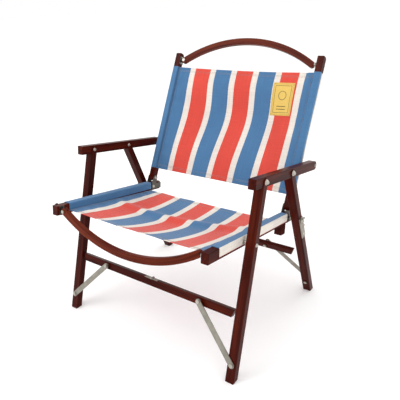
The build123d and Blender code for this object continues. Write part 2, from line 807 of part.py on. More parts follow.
for name, side in sides:
    leg = make_leg(
        side, front_foot, front_angle, front_leg_length, front_face, 1, running_clearance, front_crossings
    )
    finish(leg, f"front_leg_{name}")
    clearance = open_pivot_clearance if side > 0 else running_clearance
    leg = make_leg(side, rear_foot, rear_angle, rear_leg_length, rear_face, -1, clearance, rear_crossings)
    finish(leg, f"rear_leg_{name}")
    finish(make_arm(side), f"arm_{name}")
    finish(make_rail(side), f"seat_rail_{name}")
    finish(make_block(side), f"rear_bow_block_{name}")
    finish(make_upright(side), f"back_upright_{name}")
    finish(make_seat_sleeve(side), f"seat_sleeve_{name}")
    finish(make_back_sleeve(side), f"back_sleeve_{name}")
    finish(make_arm_bolts(side), f"arm_bolts_{name}")
    finish(make_rail_bolts(side), f"rail_bolts_{name}")
    finish(make_plate(side), f"leg_plate_{name}")
    finish(make_stop_peg(side), f"stop_peg_{name}")
    finish(make_back_bracket(side), f"back_bracket_{name}")
    finish(make_wing_nut(side), f"wing_nut_{name}")
    for row, face, outward, trim in chains:
        finish(make_bar(face, outward, side, trim), f"{row}_bar_{name}")
        finish(make_link(face, outward, side), f"{row}_link_{name}")
        finish(make_link_bolts(face, outward, side), f"{row}_link_bolts_{name}")
        finish(make_leaf(face, outward, side), f"{row}_hinge_leaf_{name}")

for row, (point, angle, face) in zip(("front", "rear", "top"), (*seat_bows, top_bow)):
    finish(make_bow(point, angle), f"{row}_bow")
    finish(make_bow_pin(point, angle, face), f"{row}_bow_pin")

finish(make_bow_hinges(seat_bows), "seat_bow_hinges")
finish(make_bow_hinges((top_bow,)), "top_bow_hinge")
finish(make_bow_bolts([(point, angle) for point, angle, face in seat_bows]), "seat_bow_bolts")
finish(make_bow_bolts([(top_bow_point, back_angle)]), "top_bow_bolt")
finish(make_hinge_screws(front_bow_point, bow_angle, rail_inner, rail_thickness, True), "front_hinge_bolts")
finish(make_hinge_screws(rear_bow_point, bow_angle, rail_inner, screw_depth, False), "rear_hinge_screws")
finish(make_hinge_screws(top_bow_point, back_angle, upright_inner, screw_depth, False), "top_hinge_screws")

# Seat and back panels hang between the sleeves' inner faces
seat_half = rail_inner - sleeve_build - panel_gap
seat_edge = along(rail_start, rail_angle, seat_hem_front, -seat_level - panel_thickness)
seat_length = seat_hem_rear - seat_hem_front
finish(make_panel(seat_edge, rail_angle, seat_length, seat_half, seat_sag), "seat_panel")

back_half = upright_inner - sleeve_build - panel_gap
back_edge = along(back_pivot, back_angle, back_hem_low, back_panel_front - panel_thickness)
back_length = back_hem_high - back_hem_low
finish(make_panel(back_edge, back_angle, back_length, back_half, back_sag), "back_panel")

patch_low = along(back_edge, back_angle, patch_level - patch_height / 2 - back_hem_low)
patch_span = (patch_offset - patch_width / 2, patch_offset + patch_width / 2)
patch_lift = panel_thickness + panel_gap / 2
patch = make_panel(
    patch_low, back_angle, patch_height, back_half, back_sag, patch_lift, patch_thickness, patch_span
)
finish(patch, "back_patch")
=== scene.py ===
import bpy
import json
import math
import random
from mathutils import Matrix, Vector, noise


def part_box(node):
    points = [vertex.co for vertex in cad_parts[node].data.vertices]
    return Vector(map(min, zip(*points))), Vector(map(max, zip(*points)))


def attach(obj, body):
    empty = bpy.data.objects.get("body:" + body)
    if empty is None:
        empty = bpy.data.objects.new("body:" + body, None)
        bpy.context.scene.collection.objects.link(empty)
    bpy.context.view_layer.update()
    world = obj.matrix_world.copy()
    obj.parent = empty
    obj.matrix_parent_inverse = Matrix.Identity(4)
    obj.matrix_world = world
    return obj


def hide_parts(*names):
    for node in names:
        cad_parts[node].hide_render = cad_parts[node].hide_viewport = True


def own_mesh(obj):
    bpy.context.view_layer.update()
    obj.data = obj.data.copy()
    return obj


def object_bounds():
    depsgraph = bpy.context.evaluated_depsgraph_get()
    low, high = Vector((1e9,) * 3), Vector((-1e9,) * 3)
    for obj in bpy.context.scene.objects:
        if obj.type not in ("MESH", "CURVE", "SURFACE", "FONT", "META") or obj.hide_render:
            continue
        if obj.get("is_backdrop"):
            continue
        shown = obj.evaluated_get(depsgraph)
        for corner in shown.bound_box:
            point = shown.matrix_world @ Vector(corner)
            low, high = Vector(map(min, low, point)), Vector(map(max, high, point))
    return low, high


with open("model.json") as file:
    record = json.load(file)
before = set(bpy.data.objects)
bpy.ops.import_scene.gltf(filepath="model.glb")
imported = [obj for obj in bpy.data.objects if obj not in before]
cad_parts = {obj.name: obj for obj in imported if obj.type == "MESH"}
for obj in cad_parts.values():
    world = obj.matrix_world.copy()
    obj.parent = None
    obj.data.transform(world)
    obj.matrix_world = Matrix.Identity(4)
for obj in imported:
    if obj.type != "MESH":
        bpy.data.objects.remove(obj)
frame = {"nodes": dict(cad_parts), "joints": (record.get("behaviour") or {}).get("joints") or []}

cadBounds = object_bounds()
random.seed(7)
nodes = frame["nodes"]
joints = {j["name"]: j for j in frame["joints"]}
print("frame loaded:", len(nodes), "nodes")

cameraSetup = {
    "place": (0.7437, -0.9649, 0.835),
    "lens": 41.45,
    "sensor": 36.0,
    "yaw": 37.2,
    "pitch": -23.5,
    "roll": -3.5,
}


def makeCamera(setup):
    yaw, pitch, roll = (math.radians(setup[k]) for k in ("yaw", "pitch", "roll"))
    ahead = Vector((-math.sin(yaw) * math.cos(pitch), math.cos(yaw) * math.cos(pitch), math.sin(pitch)))
    level = Vector((math.cos(yaw), math.sin(yaw), 0))
    upward = level.cross(ahead)
    right = level * math.cos(roll) + upward * math.sin(roll)
    up = upward * math.cos(roll) - level * math.sin(roll)
    data = bpy.data.cameras.new("camera")
    data.lens = setup["lens"]
    data.sensor_width = setup["sensor"]
    camera = bpy.data.objects.new("camera", data)
    bpy.context.scene.collection.objects.link(camera)
    turn = Matrix((right, up, -ahead)).transposed().to_4x4()
    camera.matrix_world = Matrix.Translation(Vector(setup["place"])) @ turn
    bpy.context.scene.camera = camera


makeCamera(cameraSetup)

studio = {
    "floorSize": 90.0,
    "floorColour": (0.96, 0.96, 0.955, 1),
    "floorGlow": 0.10,
    "worldColour": (1.0, 1.0, 1.0, 1),
    "worldStrength": 1.0,
    "lamps": [
        {"name": "keyLight", "place": (-1.6, -1.9, 2.6), "size": 1.8, "power": 30},
        {"name": "fillLight", "place": (2.4, -1.0, 1.7), "size": 2.0, "power": 8},
        {"name": "rimLight", "place": (0.6, 2.4, 2.2), "size": 1.6, "power": 12},
    ],
}


def makeStudio(setup):
    half = setup["floorSize"] / 2
    mesh = bpy.data.meshes.new("floor")
    corners = [(-half, -half, 0), (half, -half, 0), (half, half, 0), (-half, half, 0)]
    mesh.from_pydata(corners, [], [(0, 1, 2, 3)])
    floor = bpy.data.objects.new("floor", mesh)
    bpy.context.scene.collection.objects.link(floor)
    material = bpy.data.materials.new("paleFloor")
    material.use_nodes = True
    shader = material.node_tree.nodes["Principled BSDF"]
    shader.inputs["Base Color"].default_value = setup["floorColour"]
    shader.inputs["Roughness"].default_value = 0.75
    shader.inputs["Emission Color"].default_value = setup["floorColour"]
    shader.inputs["Emission Strength"].default_value = setup["floorGlow"]
    mesh.materials.append(material)
    floor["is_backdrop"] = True
    world = bpy.data.worlds.new("studioWorld")
    world.use_nodes = True
    background = world.node_tree.nodes["Background"]
    background.inputs["Color"].default_value = setup["worldColour"]
    background.inputs["Strength"].default_value = setup["worldStrength"]
    bpy.context.scene.world = world
    for lamp in setup["lamps"]:
        data = bpy.data.lights.new(lamp["name"], "AREA")
        data.size = lamp["size"]
        data.energy = lamp["power"]
        light = bpy.data.objects.new(lamp["name"], data)
        bpy.context.scene.collection.objects.link(light)
        light.location = lamp["place"]
        toMiddle = Vector((0, 0, 0.35)) - Vector(lamp["place"])
        light.rotation_euler = toMiddle.to_track_quat("-Z", "Y").to_euler()
    bpy.context.scene.view_settings.view_transform = "Standard"


makeStudio(studio)


def alongLeg(axis):
    # A spreader's hinge axis is square to the leg's face, so this runs up the leg.
    return Vector((0, axis[2], -axis[1]))


frontLegDir = alongLeg(joints["fold"]["axis"])
rearLegDir = alongLeg(joints["rear_link_left_turn"]["axis"])
railDir = Vector(joints["front_bow_swing"]["axis"])
railUp = Vector((0, -railDir.z, railDir.y))
uprightFront = Vector(joints["top_bow_swing"]["axis"])
uprightDir = alongLeg(uprightFront)
backPivot = Vector(joints["back_fold"]["pos_m"])
frontBowPivot = Vector(joints["front_bow_swing"]["pos_m"])
armSlope = math.radians(10)
armDir = Vector((0, math.cos(armSlope), -math.sin(armSlope)))


class Tree:
    # Small helper that adds nodes and joins sockets in one material.
    def __init__(self, name):
        self.material = bpy.data.materials.new(name)
        self.material.use_nodes = True
        self.nodes = self.material.node_tree.nodes
        self.links = self.material.node_tree.links
        self.shader = self.nodes["Principled BSDF"]

    def add(self, kind, **settings):
        node = self.nodes.new(kind)
        for key, value in settings.items():
            setattr(node, key, value)
        return node

    def join(self, source, target):
        self.links.new(source, target)

    def math(self, operation, first, second=None):
        node = self.add("ShaderNodeMath", operation=operation)
        for index, value in enumerate((first, second)):
            if value is None:
                continue
            if isinstance(value, (int, float)):
                node.inputs[index].default_value = value
            else:
                self.join(value, node.inputs[index])
        return node.outputs[0]

    def ramp(self, source, stops, interpolation="LINEAR"):
        node = self.add("ShaderNodeValToRGB")
        node.color_ramp.interpolation = interpolation
        elements = node.color_ramp.elements
        while len(elements) < len(stops):
            elements.new(0.5)
        for element, (place, colour) in zip(elements, stops):
            element.position = place
            element.color = (*colour, 1)
        self.join(source, node.inputs["Fac"])
        return node.outputs["Color"]

    def mix(self, factor, first, second, kind="MIX"):
        node = self.add("ShaderNodeMix", data_type="RGBA", blend_type=kind)
        for index, value in ((0, factor), (6, first), (7, second)):
            if isinstance(value, (int, float)):
                node.inputs[index].default_value = value
            elif isinstance(value, tuple):
                node.inputs[index].default_value = (*value, 1)
            else:
                self.join(value, node.inputs[index])
        return node.outputs[2]

    def noise(self, vector, scale, detail=4, roughness=0.55):
        node = self.add("ShaderNodeTexNoise")
        node.inputs["Scale"].default_value = scale
        node.inputs["Detail"].default_value = detail
        node.inputs["Roughness"].default_value = roughness
        self.join(vector, node.inputs["Vector"])
        return node.outputs["Fac"]

    def mapping(self, vector, location=(0, 0, 0), rotation=(0, 0, 0), scale=(1, 1, 1)):
        node = self.add("ShaderNodeMapping")
        node.inputs["Location"].default_value = location
        node.inputs["Rotation"].default_value = rotation
        node.inputs["Scale"].default_value = scale
        self.join(vector, node.inputs["Vector"])
        return node.outputs["Vector"]

    def bump(self, height, strength, distance):
        node = self.add("ShaderNodeBump")
        node.inputs["Strength"].default_value = strength
        node.inputs["Distance"].default_value = distance
        self.join(height, node.inputs["Height"])
        self.join(node.outputs["Normal"], self.shader.inputs["Normal"])


varnish = {
    "dark": (0.020, 0.0012, 0.0003),
    "middle": (0.050, 0.0036, 0.0009),
    "light": (0.110, 0.0125, 0.0030),
    "grainStretch": 0.045,
    "grainScale": 95.0,
    "poreScale": 420.0,
    "roughness": 0.26,
    "coat": 0.03,
    "specular": 0.06,
}


def finishWood(tree, vector, look):
    grain = tree.noise(vector, look["grainScale"], 5, 0.6)
    broad = tree.noise(vector, look["grainScale"] / 6, 2, 0.5)
    pores = tree.noise(vector, look["poreScale"], 2, 0.7)
    blend = tree.math("ADD", tree.math("MULTIPLY", grain, 0.6), tree.math("MULTIPLY", broad, 0.4))
    colour = tree.ramp(blend, [(0.34, look["dark"]), (0.5, look["middle"]), (0.68, look["light"])])
    poreMask = tree.ramp(pores, [(0.30, (0.45, 0.45, 0.45)), (0.42, (1, 1, 1))])
    colour = tree.mix(1.0, colour, poreMask, "MULTIPLY")
    tree.join(colour, tree.shader.inputs["Base Color"])
    gloss = tree.ramp(grain, [(0.3, (look["roughness"] + 0.10,) * 3), (0.7, (look["roughness"],) * 3)])
    tree.join(gloss, tree.shader.inputs["Roughness"])
    tree.shader.inputs["Coat Weight"].default_value = look["coat"]
    tree.shader.inputs["Coat Roughness"].default_value = 0.12
    tree.shader.inputs["Specular IOR Level"].default_value = look["specular"]
    height = tree.math("ADD", grain, tree.math("MULTIPLY", pores, 0.6))
    tree.bump(height, 0.10, 0.0006)


def straightWood(name, direction, shift):
    # Grain runs along one direction of the chair.
    tree = Tree(name)
    coordinates = tree.add("ShaderNodeTexCoord").outputs["Object"]
    if abs(direction.x) > 0.5:
        turn = (0, 0, -math.pi / 2)
    else:
        turn = (-math.atan2(direction.z, direction.y), 0, 0)
    turned = tree.mapping(coordinates, location=shift, rotation=turn)
    stretched = tree.mapping(turned, scale=(1, varnish["grainStretch"], 1))
    finishWood(tree, stretched, varnish)
    return tree.material


def bentWood(name, pivot, bulge, plane, look):
    # Laminated strip: thin layers follow the bow's own arc.
    half, sag = abs(pivot.x), look["sag"]
    radius = (half * half + sag * sag) / (2 * sag)
    centre = Vector((0, pivot.y, pivot.z)) + bulge * (sag - radius)
    tree = Tree(name)
    coordinates = tree.add("ShaderNodeTexCoord").outputs["Object"]
    offset = tree.add("ShaderNodeVectorMath", operation="SUBTRACT")
    tree.join(coordinates, offset.inputs[0])
    offset.inputs[1].default_value = centre
    parts = []
    for direction in (Vector((1, 0, 0)), bulge, plane):
        dot = tree.add("ShaderNodeVectorMath", operation="DOT_PRODUCT")
        tree.join(offset.outputs["Vector"], dot.inputs[0])
        dot.inputs[1].default_value = direction
        parts.append(dot.outputs["Value"])
    angle = tree.math("MULTIPLY", tree.math("ARCTAN2", parts[0], parts[1]), radius)
    squares = tree.math("ADD", tree.math("POWER", parts[0], 2), tree.math("POWER", parts[1], 2))
    reach = tree.math("SQRT", squares)
    combined = tree.add("ShaderNodeCombineXYZ")
    tree.join(reach, combined.inputs[0])
    tree.join(tree.math("MULTIPLY", angle, varnish["grainStretch"]), combined.inputs[1])
    tree.join(parts[2], combined.inputs[2])
    finishWood(tree, combined.outputs[0], {**varnish, **look})
    return tree.material


# Bows: the frame's varnish grain on a brighter base colour. The extra brightness is painted light, standing
# in for the bows' lit faces and varnish highlights.
litBowLook = {
    "sag": 0.064,
    "dark": (0.055, 0.0048, 0.0010),
    "middle": (0.125, 0.0155, 0.0034),
    "light": (0.215, 0.0400, 0.0090),
}

canvas = {
    "red": (0.74, 0.060, 0.036),
    "blue": (0.055, 0.180, 0.370),
    "cream": (0.84, 0.775, 0.70),
    "period": 0.153,
    "redWidth": 0.0565,
    "creamWidth": 0.020,
    "edge": 0.240,
    "threadPitch": 0.0011,
    "roughness": 0.82,
}


def stripedCanvas(name, look):
    tree = Tree(name)
    uv = tree.add("ShaderNodeUVMap", uv_map="cloth").outputs["UV"]
    split = tree.add("ShaderNodeSeparateXYZ")
    tree.join(uv, split.inputs[0])
    across, along = split.outputs[0], split.outputs[1]
    # Woven edges wander by a fraction of a millimetre
    wander = tree.math("MULTIPLY", tree.math("SUBTRACT", tree.noise(uv, 260, 2), 0.5), 0.0011)
    held = tree.math("MAXIMUM", across, -look["edge"])
    shifted = tree.math("ADD", tree.math("ADD", held, wander), look["redWidth"] / 2)
    share = tree.math("FRACT", tree.math("DIVIDE", shifted, look["period"]))
    first = look["redWidth"] / look["period"]
    second = first + look["creamWidth"] / look["period"]
    stops = [(0, look["red"]), (first, look["cream"]), (second, look["blue"])]
    stops.append((second + first, look["cream"]))
    colour = tree.ramp(share, stops, "CONSTANT")
    # Slubs: single threads a little paler or darker, both ways
    warp = tree.noise(tree.mapping(uv, scale=(900, 14, 1)), 1.0, 2)
    weft = tree.noise(tree.mapping(uv, scale=(14, 900, 1)), 1.0, 2)
    threads = tree.math("MULTIPLY", tree.math("ADD", warp, weft), 0.5)
    shade = tree.ramp(threads, [(0.36, (0.83, 0.83, 0.83)), (0.64, (1.08, 1.08, 1.08))])
    colour = tree.mix(1.0, colour, shade, "MULTIPLY")
    fade = tree.ramp(tree.noise(uv, 9, 3), [(0.35, (0.93, 0.93, 0.94)), (0.65, (1.03, 1.02, 1.0))])
    colour = tree.mix(1.0, colour, fade, "MULTIPLY")
    tree.join(colour, tree.shader.inputs["Base Color"])
    tree.shader.inputs["Roughness"].default_value = look["roughness"]
    tree.shader.inputs["Sheen Weight"].default_value = 0.18
    tree.shader.inputs["Sheen Roughness"].default_value = 0.5
    turns = 2 * math.pi / look["threadPitch"]
    weave = tree.math(
        "MULTIPLY",
        tree.math("SINE", tree.math("MULTIPLY", across, turns)),
        tree.math("SINE", tree.math("MULTIPLY", along, turns)),
    )
    tree.bump(tree.math("ADD", weave, threads), 0.35, 0.0003)
    return tree.material


def plainMetal(name, colour, roughness, metallic=1.0, streak=0.12):
    tree = Tree(name)
    coordinates = tree.add("ShaderNodeTexCoord").outputs["Object"]
    fine = tree.noise(tree.mapping(coordinates, scale=(900, 900, 120)), 1.0, 2)
    blotch = tree.noise(coordinates, 60, 3)
    low = tuple(c * (1 - streak) for c in colour)
    high = tuple(min(1.0, c * (1 + streak)) for c in colour)
    tree.join(tree.ramp(blotch, [(0.35, low), (0.65, high)]), tree.shader.inputs["Base Color"])
    rough = tree.ramp(fine, [(0.3, (roughness - 0.06,) * 3), (0.7, (roughness + 0.10,) * 3)])
    tree.join(rough, tree.shader.inputs["Roughness"])
    tree.shader.inputs["Metallic"].default_value = metallic
    tree.bump(fine, 0.06, 0.0002)
    return tree.material


def threadMaterial(name, colour):
    tree = Tree(name)
    coordinates = tree.add("ShaderNodeTexCoord").outputs["Object"]
    twist = tree.noise(coordinates, 1500, 2)
    pale = tuple(min(1.0, c * 1.15) for c in colour)
    dark = tuple(c * 0.8 for c in colour)
    tree.join(tree.ramp(twist, [(0.35, dark), (0.65, pale)]), tree.shader.inputs["Base Color"])
    tree.shader.inputs["Roughness"].default_value = 0.7
    tree.bump(twist, 0.3, 0.0002)
    return tree.material


patchLook = {
    "colour": (0.82, 0.56, 0.13),
    "ink": (0.10, 0.075, 0.03),
    "width": 0.068,
    "height": 0.092,
    "border": 0.0085,
    "line": 0.0006,
    "ring": 0.0120,
    "ringLevel": 0.056,
    "bars": (0.018, 0.026),
    "barHalf": 0.015,
    "ringWeight": 1.3,
    "barWeight": 1.6,
    "centre": 0.150,
    "level": 0.296,
    "lift": 0.0015,
    "thickness": 0.0008,
}


def patchMaterial(name, look):
    # Plain yellow canvas with a printed border line and one plain ring.
    tree = Tree(name)
    uv = tree.add("ShaderNodeUVMap", uv_map="cloth").outputs["UV"]
    split = tree.add("ShaderNodeSeparateXYZ")
    tree.join(uv, split.inputs[0])
    across, along = split.outputs[0], split.outputs[1]

    def printedLine(value, place, halfWidth):
        off = tree.math("ABSOLUTE", tree.math("SUBTRACT", value, place))
        return tree.math("LESS_THAN", off, halfWidth)

    distances = []
    for value, size in ((across, look["width"]), (along, look["height"])):
        distances.append(value)
        distances.append(tree.math("SUBTRACT", size, value))
    nearest = distances[0]
    for value in distances[1:]:
        nearest = tree.math("MINIMUM", nearest, value)
    frameLine = printedLine(nearest, look["border"], look["line"])
    dx = tree.math("SUBTRACT", across, look["width"] / 2)
    dy = tree.math("SUBTRACT", along, look["ringLevel"])
    radius = tree.math("SQRT", tree.math("ADD", tree.math("POWER", dx, 2), tree.math("POWER", dy, 2)))
    ring = printedLine(radius, look["ring"], look["line"] * look["ringWeight"])
    ink = tree.math("MAXIMUM", frameLine, ring)
    inside = tree.math("LESS_THAN", tree.math("ABSOLUTE", dx), look["barHalf"])
    for level in look["bars"]:
        bar = printedLine(along, level, look["line"] * look["barWeight"])
        ink = tree.math("MAXIMUM", ink, tree.math("MULTIPLY", bar, inside))
    warp = tree.noise(tree.mapping(uv, scale=(1300, 40, 1)), 1.0, 2)
    weft = tree.noise(tree.mapping(uv, scale=(40, 1300, 1)), 1.0, 2)
    threads = tree.math("MULTIPLY", tree.math("ADD", warp, weft), 0.5)
    cloth = tree.ramp(threads, [(0.35, tuple(c * 0.82 for c in look["colour"])), (0.65, look["colour"])])
    tree.join(tree.mix(ink, cloth, look["ink"]), tree.shader.inputs["Base Color"])
    tree.shader.inputs["Roughness"].default_value = 0.8
    tree.bump(threads, 0.3, 0.0003)
    return tree.material


straight = Vector((1, 0, 0))
woodMaterials = {
    "front_leg": straightWood("frontLegWood", frontLegDir, (0.3, 0, 0)),
    "rear_leg": straightWood("rearLegWood", rearLegDir, (0.7, 0, 0.2)),
    "arm": straightWood("armWood", armDir, (1.1, 0, 0.5)),
    "seat_rail": straightWood("railWood", railDir, (1.9, 0, 0.4)),
    "rear_bow_block": straightWood("blockWood", railDir, (2.3, 0, 0.9)),
    "back_upright": straightWood("uprightWood", uprightDir, (2.9, 0, 0.1)),
    "front_bar": straightWood("frontBarWood", straight, (0, 3.1, 0)),
    "rear_bar": straightWood("rearBarWood", straight, (0, 3.7, 0.6)),
}
for row, pivot in (("front", frontBowPivot), ("rear", Vector(joints["rear_bow_swing"]["pos_m"]))):
    woodMaterials[f"{row}_bow"] = bentWood(f"{row}BowWood", pivot, -railUp, railDir, litBowLook)
topPivot = Vector(joints["top_bow_swing"]["pos_m"])
woodMaterials["top_bow"] = bentWood("topBowWood", topPivot, uprightDir, uprightFront, litBowLook)

steelFlat = plainMetal("satinSteel", (0.30, 0.28, 0.24), 0.40)
steelBright = plainMetal("brightSteel", (0.45, 0.42, 0.37), 0.28)
steelDark = plainMetal("darkSteel", (0.11, 0.10, 0.09), 0.45)
blackNut = plainMetal("blackCapNut", (0.018, 0.018, 0.02), 0.30, 0.4)
clothMaterial = stripedCanvas("stripedCanvas", canvas)
threadPale = threadMaterial("paleThread", (0.36, 0.31, 0.30))
threadOchre = threadMaterial("ochreThread", (0.45, 0.26, 0.05))
yellowPatch = patchMaterial("yellowPatch", patchLook)


def setMaterial(piece, material):
    piece.data.materials.clear()
    piece.data.materials.append(material)


for name, node in nodes.items():
    stem = name.replace("_left", "").replace("_right", "")
    if stem in woodMaterials:
        setMaterial(node, woodMaterials[stem])
    elif name == "front_hinge_bolts":
        setMaterial(node, blackNut)
    elif any(word in name for word in ("bolts", "bolt", "pin", "screws", "wing")):
        setMaterial(node, steelBright)
    elif "bracket" in name or "bow_hinge" in name:
        setMaterial(node, steelDark)
    elif "sleeve" not in name and "panel" not in name and "patch" not in name:
        setMaterial(node, steelFlat)
print("materials set")


def newObject(name, verts, faces, material, uvs=None):
    mesh = bpy.data.meshes.new(name)
    mesh.from_pydata([tuple(v) for v in verts], [], faces)
    if uvs:
        layer = mesh.uv_layers.new(name="cloth")
        for loop in mesh.loops:
            layer.data[loop.index].uv = uvs[loop.vertex_index]
    for polygon in mesh.polygons:
        polygon.use_smooth = True
    mesh.materials.append(material)
    piece = bpy.data.objects.new(name, mesh)
    bpy.context.scene.collection.objects.link(piece)
    return piece


def applyModifiers(piece):
    bpy.context.view_layer.update()
    graph = bpy.context.evaluated_depsgraph_get()
    evaluated = piece.evaluated_get(graph)
    mesh = bpy.data.meshes.new_from_object(evaluated, preserve_all_data_layers=True, depsgraph=graph)
    old = piece.data
    piece.modifiers.clear()
    if piece.type == "MESH":
        piece.data = mesh
        bpy.data.meshes.remove(old)
    return piece


def clothSheet(name, rows, columns, place, facing, thickness, material, clothUv):
    # Grid of cloth with a real thickness; place gives a point, clothUv its flat place.
    verts, uvs, faces = [], [], []
    for i in range(rows + 1):
        for j in range(columns + 1):
            verts.append(place(i / rows, j / columns))
            uvs.append(clothUv(i / rows, j / columns))
    for i in range(rows):
        for j in range(columns):
            a = i * (columns + 1) + j
            faces.append((a, a + 1, a + columns + 2, a + columns + 1))
    middle = len(faces) // 2 + columns // 2
    corners = [Vector(verts[k]) for k in faces[middle][:3]]
    normal = (corners[1] - corners[0]).cross(corners[2] - corners[0])
    if normal.dot(facing) < 0:
        faces = [tuple(reversed(f)) for f in faces]
    piece = newObject(name, verts, faces, material, uvs)
    solid = piece.modifiers.new("thickness", "SOLIDIFY")
    solid.thickness = thickness
    solid.offset = 1.0
    return applyModifiers(piece)


seatCover = {
    "hemFront": 0.040,
    "hemRear": 0.3704,
    "station": 0.014,
    "railHalf": 0.013,
    "railWidth": 0.020,
    "edge": 0.0053,
    "edgeFall": 0.0070,
    "sag": 0.025,
    "edgeShare": 0.10,
    "ridge": 0.0095,
    "redCentre": -0.005,
    "fullness": 0.8,
    "ridgePlace": 0.58,
    "ridgeSkew": 0.10,
    "ridgeWidth": 0.055,
    "pulls": 46,
    "pullDepth": 0.0011,
    "pullReach": 0.030,
    "thickness": 0.0013,
    "gap": -0.0002,
    "drop": 0.020,
    "corner": 0.0018,
    "keep": 0.11,
}
backCover = {
    "hemLow": 0.033,
    "hemHigh": 0.373,
    "halfDepth": 0.010,
    "halfWidth": 0.0094,
    "front": 0.0012,
    "sag": 0.034,
    "topSag": 0.014,
    "redCentre": 0.009,
    "pulls": 40,
    "pullDepth": 0.0010,
    "pullReach": 0.028,
    "thickness": 0.0013,
    "gap": -0.0002,
    "corner": 0.0018,
    "keep": 0.11,
}
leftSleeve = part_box("seat_sleeve_left")
railInnerX = -leftSleeve[1].x + seatCover["thickness"] + 0.0001
railOuterX = railInnerX + seatCover["railWidth"]
railStart = Vector((0, frontBowPivot.y, frontBowPivot.z)) - railDir * seatCover["station"]
panelHalf = -leftSleeve[1].x - seatCover["gap"]
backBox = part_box("back_sleeve_left")
backHalf = -backBox[1].x - backCover["gap"]
uprightX = (-backBox[1].x - backBox[0].x) / 2
backStart = Vector((0, backPivot.y, backPivot.z))


def railPoint(x, s, n):
    return Vector((x, 0, 0)) + railStart + railDir * s + railUp * n


def backPoint(x, t, v):
    return Vector((x, 0, 0)) + backStart + uprightDir * t + uprightFront * v


def clothNoise(x, y, z, size):
    return noise.noise(Vector((x / size, y / size, z / size)))


def seatDepth(x, s):
    # How far the seat hangs below its edges.
    across = 1 - (x / panelHalf) ** 2
    share = (s - seatCover["hemFront"]) / (seatCover["hemRear"] - seatCover["hemFront"])
    swell = math.sin(math.pi * min(1, max(0, share))) ** seatCover["fullness"]
    belly = seatCover["edgeShare"] + (1 - seatCover["edgeShare"]) * swell
    fromRidge = share - seatCover["ridgePlace"] - seatCover["ridgeSkew"] * x / panelHalf
    ridge = seatCover["ridge"] * math.exp(-((fromRidge / seatCover["ridgeWidth"]) ** 2)) * across ** 0.5
    ripple = 0.0016 * clothNoise(x, s * 0.35, 0.3, 0.055) * across ** 0.5
    wave = math.sin(share * seatCover["pulls"] + 3 * clothNoise(0, s, 2.0, 0.09))
    pull = seatCover["pullDepth"] * wave * math.exp(-(panelHalf - abs(x)) / seatCover["pullReach"])
    return seatCover["sag"] * across * belly - ridge + ripple + pull * min(1, (panelHalf - abs(x)) / 0.006)


def seatPlace(i, j):
    x = -panelHalf + 2 * panelHalf * j
    s = seatCover["hemFront"] + (seatCover["hemRear"] - seatCover["hemFront"]) * i
    return railPoint(x, s, -seatCover["edge"] - seatCover["edgeFall"] * i - seatDepth(x, s))


def seatUv(i, j):
    x = (-panelHalf + 2 * panelHalf * j) * 1.006
    return (x - seatCover["redCentre"], (seatCover["hemRear"] - seatCover["hemFront"]) * i)


def backDepth(x, t):
    # How far the back bellies to the rear; the hems stay nearly straight.
    across = 1 - (x / backHalf) ** 2
    share = (t - backCover["hemLow"]) / (backCover["hemHigh"] - backCover["hemLow"])
    share = min(1, max(0, share))
    swell = math.sin(math.pi * share**1.3) ** 2 * backCover["sag"]
    belly = math.hypot(swell, backCover["topSag"] * share**2)
    ripple = 0.0022 * clothNoise(x * 0.6, t, 5.1, 0.085) * across ** 0.5
    wave = math.sin(share * backCover["pulls"] + 3 * clothNoise(1, t, 4.0, 0.08))
    pull = backCover["pullDepth"] * wave * math.exp(-(backHalf - abs(x)) / backCover["pullReach"])
    tuck = 0.0030 * math.exp(-(((x - backHalf + 0.024) / 0.006) ** 2)) * math.exp(-((1 - share) / 0.06))
    return across * belly + ripple + pull * min(1, (backHalf - abs(x)) / 0.006) + tuck


def backPlace(i, j):
    x = -backHalf + 2 * backHalf * j
    t = backCover["hemLow"] + (backCover["hemHigh"] - backCover["hemLow"]) * i
    return backPoint(x, t, backCover["front"] - backDepth(x, t))


def backUv(i, j):
    x = (-backHalf + 2 * backHalf * j) * 1.008
    return (x - backCover["redCentre"], (backCover["hemHigh"] - backCover["hemLow"]) * i)


def arcCorner(centre, radius, start, end, steps=5):
    return [
        (centre[0] + radius * math.cos(math.radians(a)), centre[1] + radius * math.sin(math.radians(a)))
        for a in (start + (end - start) * k / steps for k in range(steps + 1))
    ]


def straightRun(start, end, steps):
    run = [end[k] - start[k] for k in range(2)]
    return [(start[0] + run[0] * k / steps, start[1] + run[1] * k / steps) for k in range(steps)]


def saddleProfile(half, top, drop, corner):
    # Across the rail: up the outer side, over the top, down the inner side.
    points = straightRun((half, top - drop), (half, top - corner), 8)
    points += arcCorner((half - corner, top - corner), corner, 0, 90)
    points += straightRun((half - corner, top), (corner - half, top), 10)[1:]
    points += arcCorner((corner - half, top - corner), corner, 90, 180)
    points += straightRun((-half, top - corner), (-half, top - drop), 8)[1:] + [(-half, top - drop)]
    return points


def tubeProfile(halfWidth, halfDepth, corner):
    # All round the upright, starting at the middle of the inner side.
    points = []
    for sx, sy, a in ((-1, 1, 180), (1, 1, 90), (1, -1, 0), (-1, -1, -90)):
        centre = (sx * (halfWidth - corner), sy * (halfDepth - corner))
        points += arcCorner(centre, corner, a, a - 90, 4)
    dense = [points[0]]
    for start, end in zip(points, points[1:] + points[:1]):
        steps = max(1, round(math.dist(start, end) / 0.0025))
        dense += straightRun(start, end, steps)[1:] + [end]
    return dense


def runLengths(points):
    lengths = [0.0]
    for start, end in zip(points, points[1:]):
        lengths.append(lengths[-1] + math.dist(start, end))
    return lengths


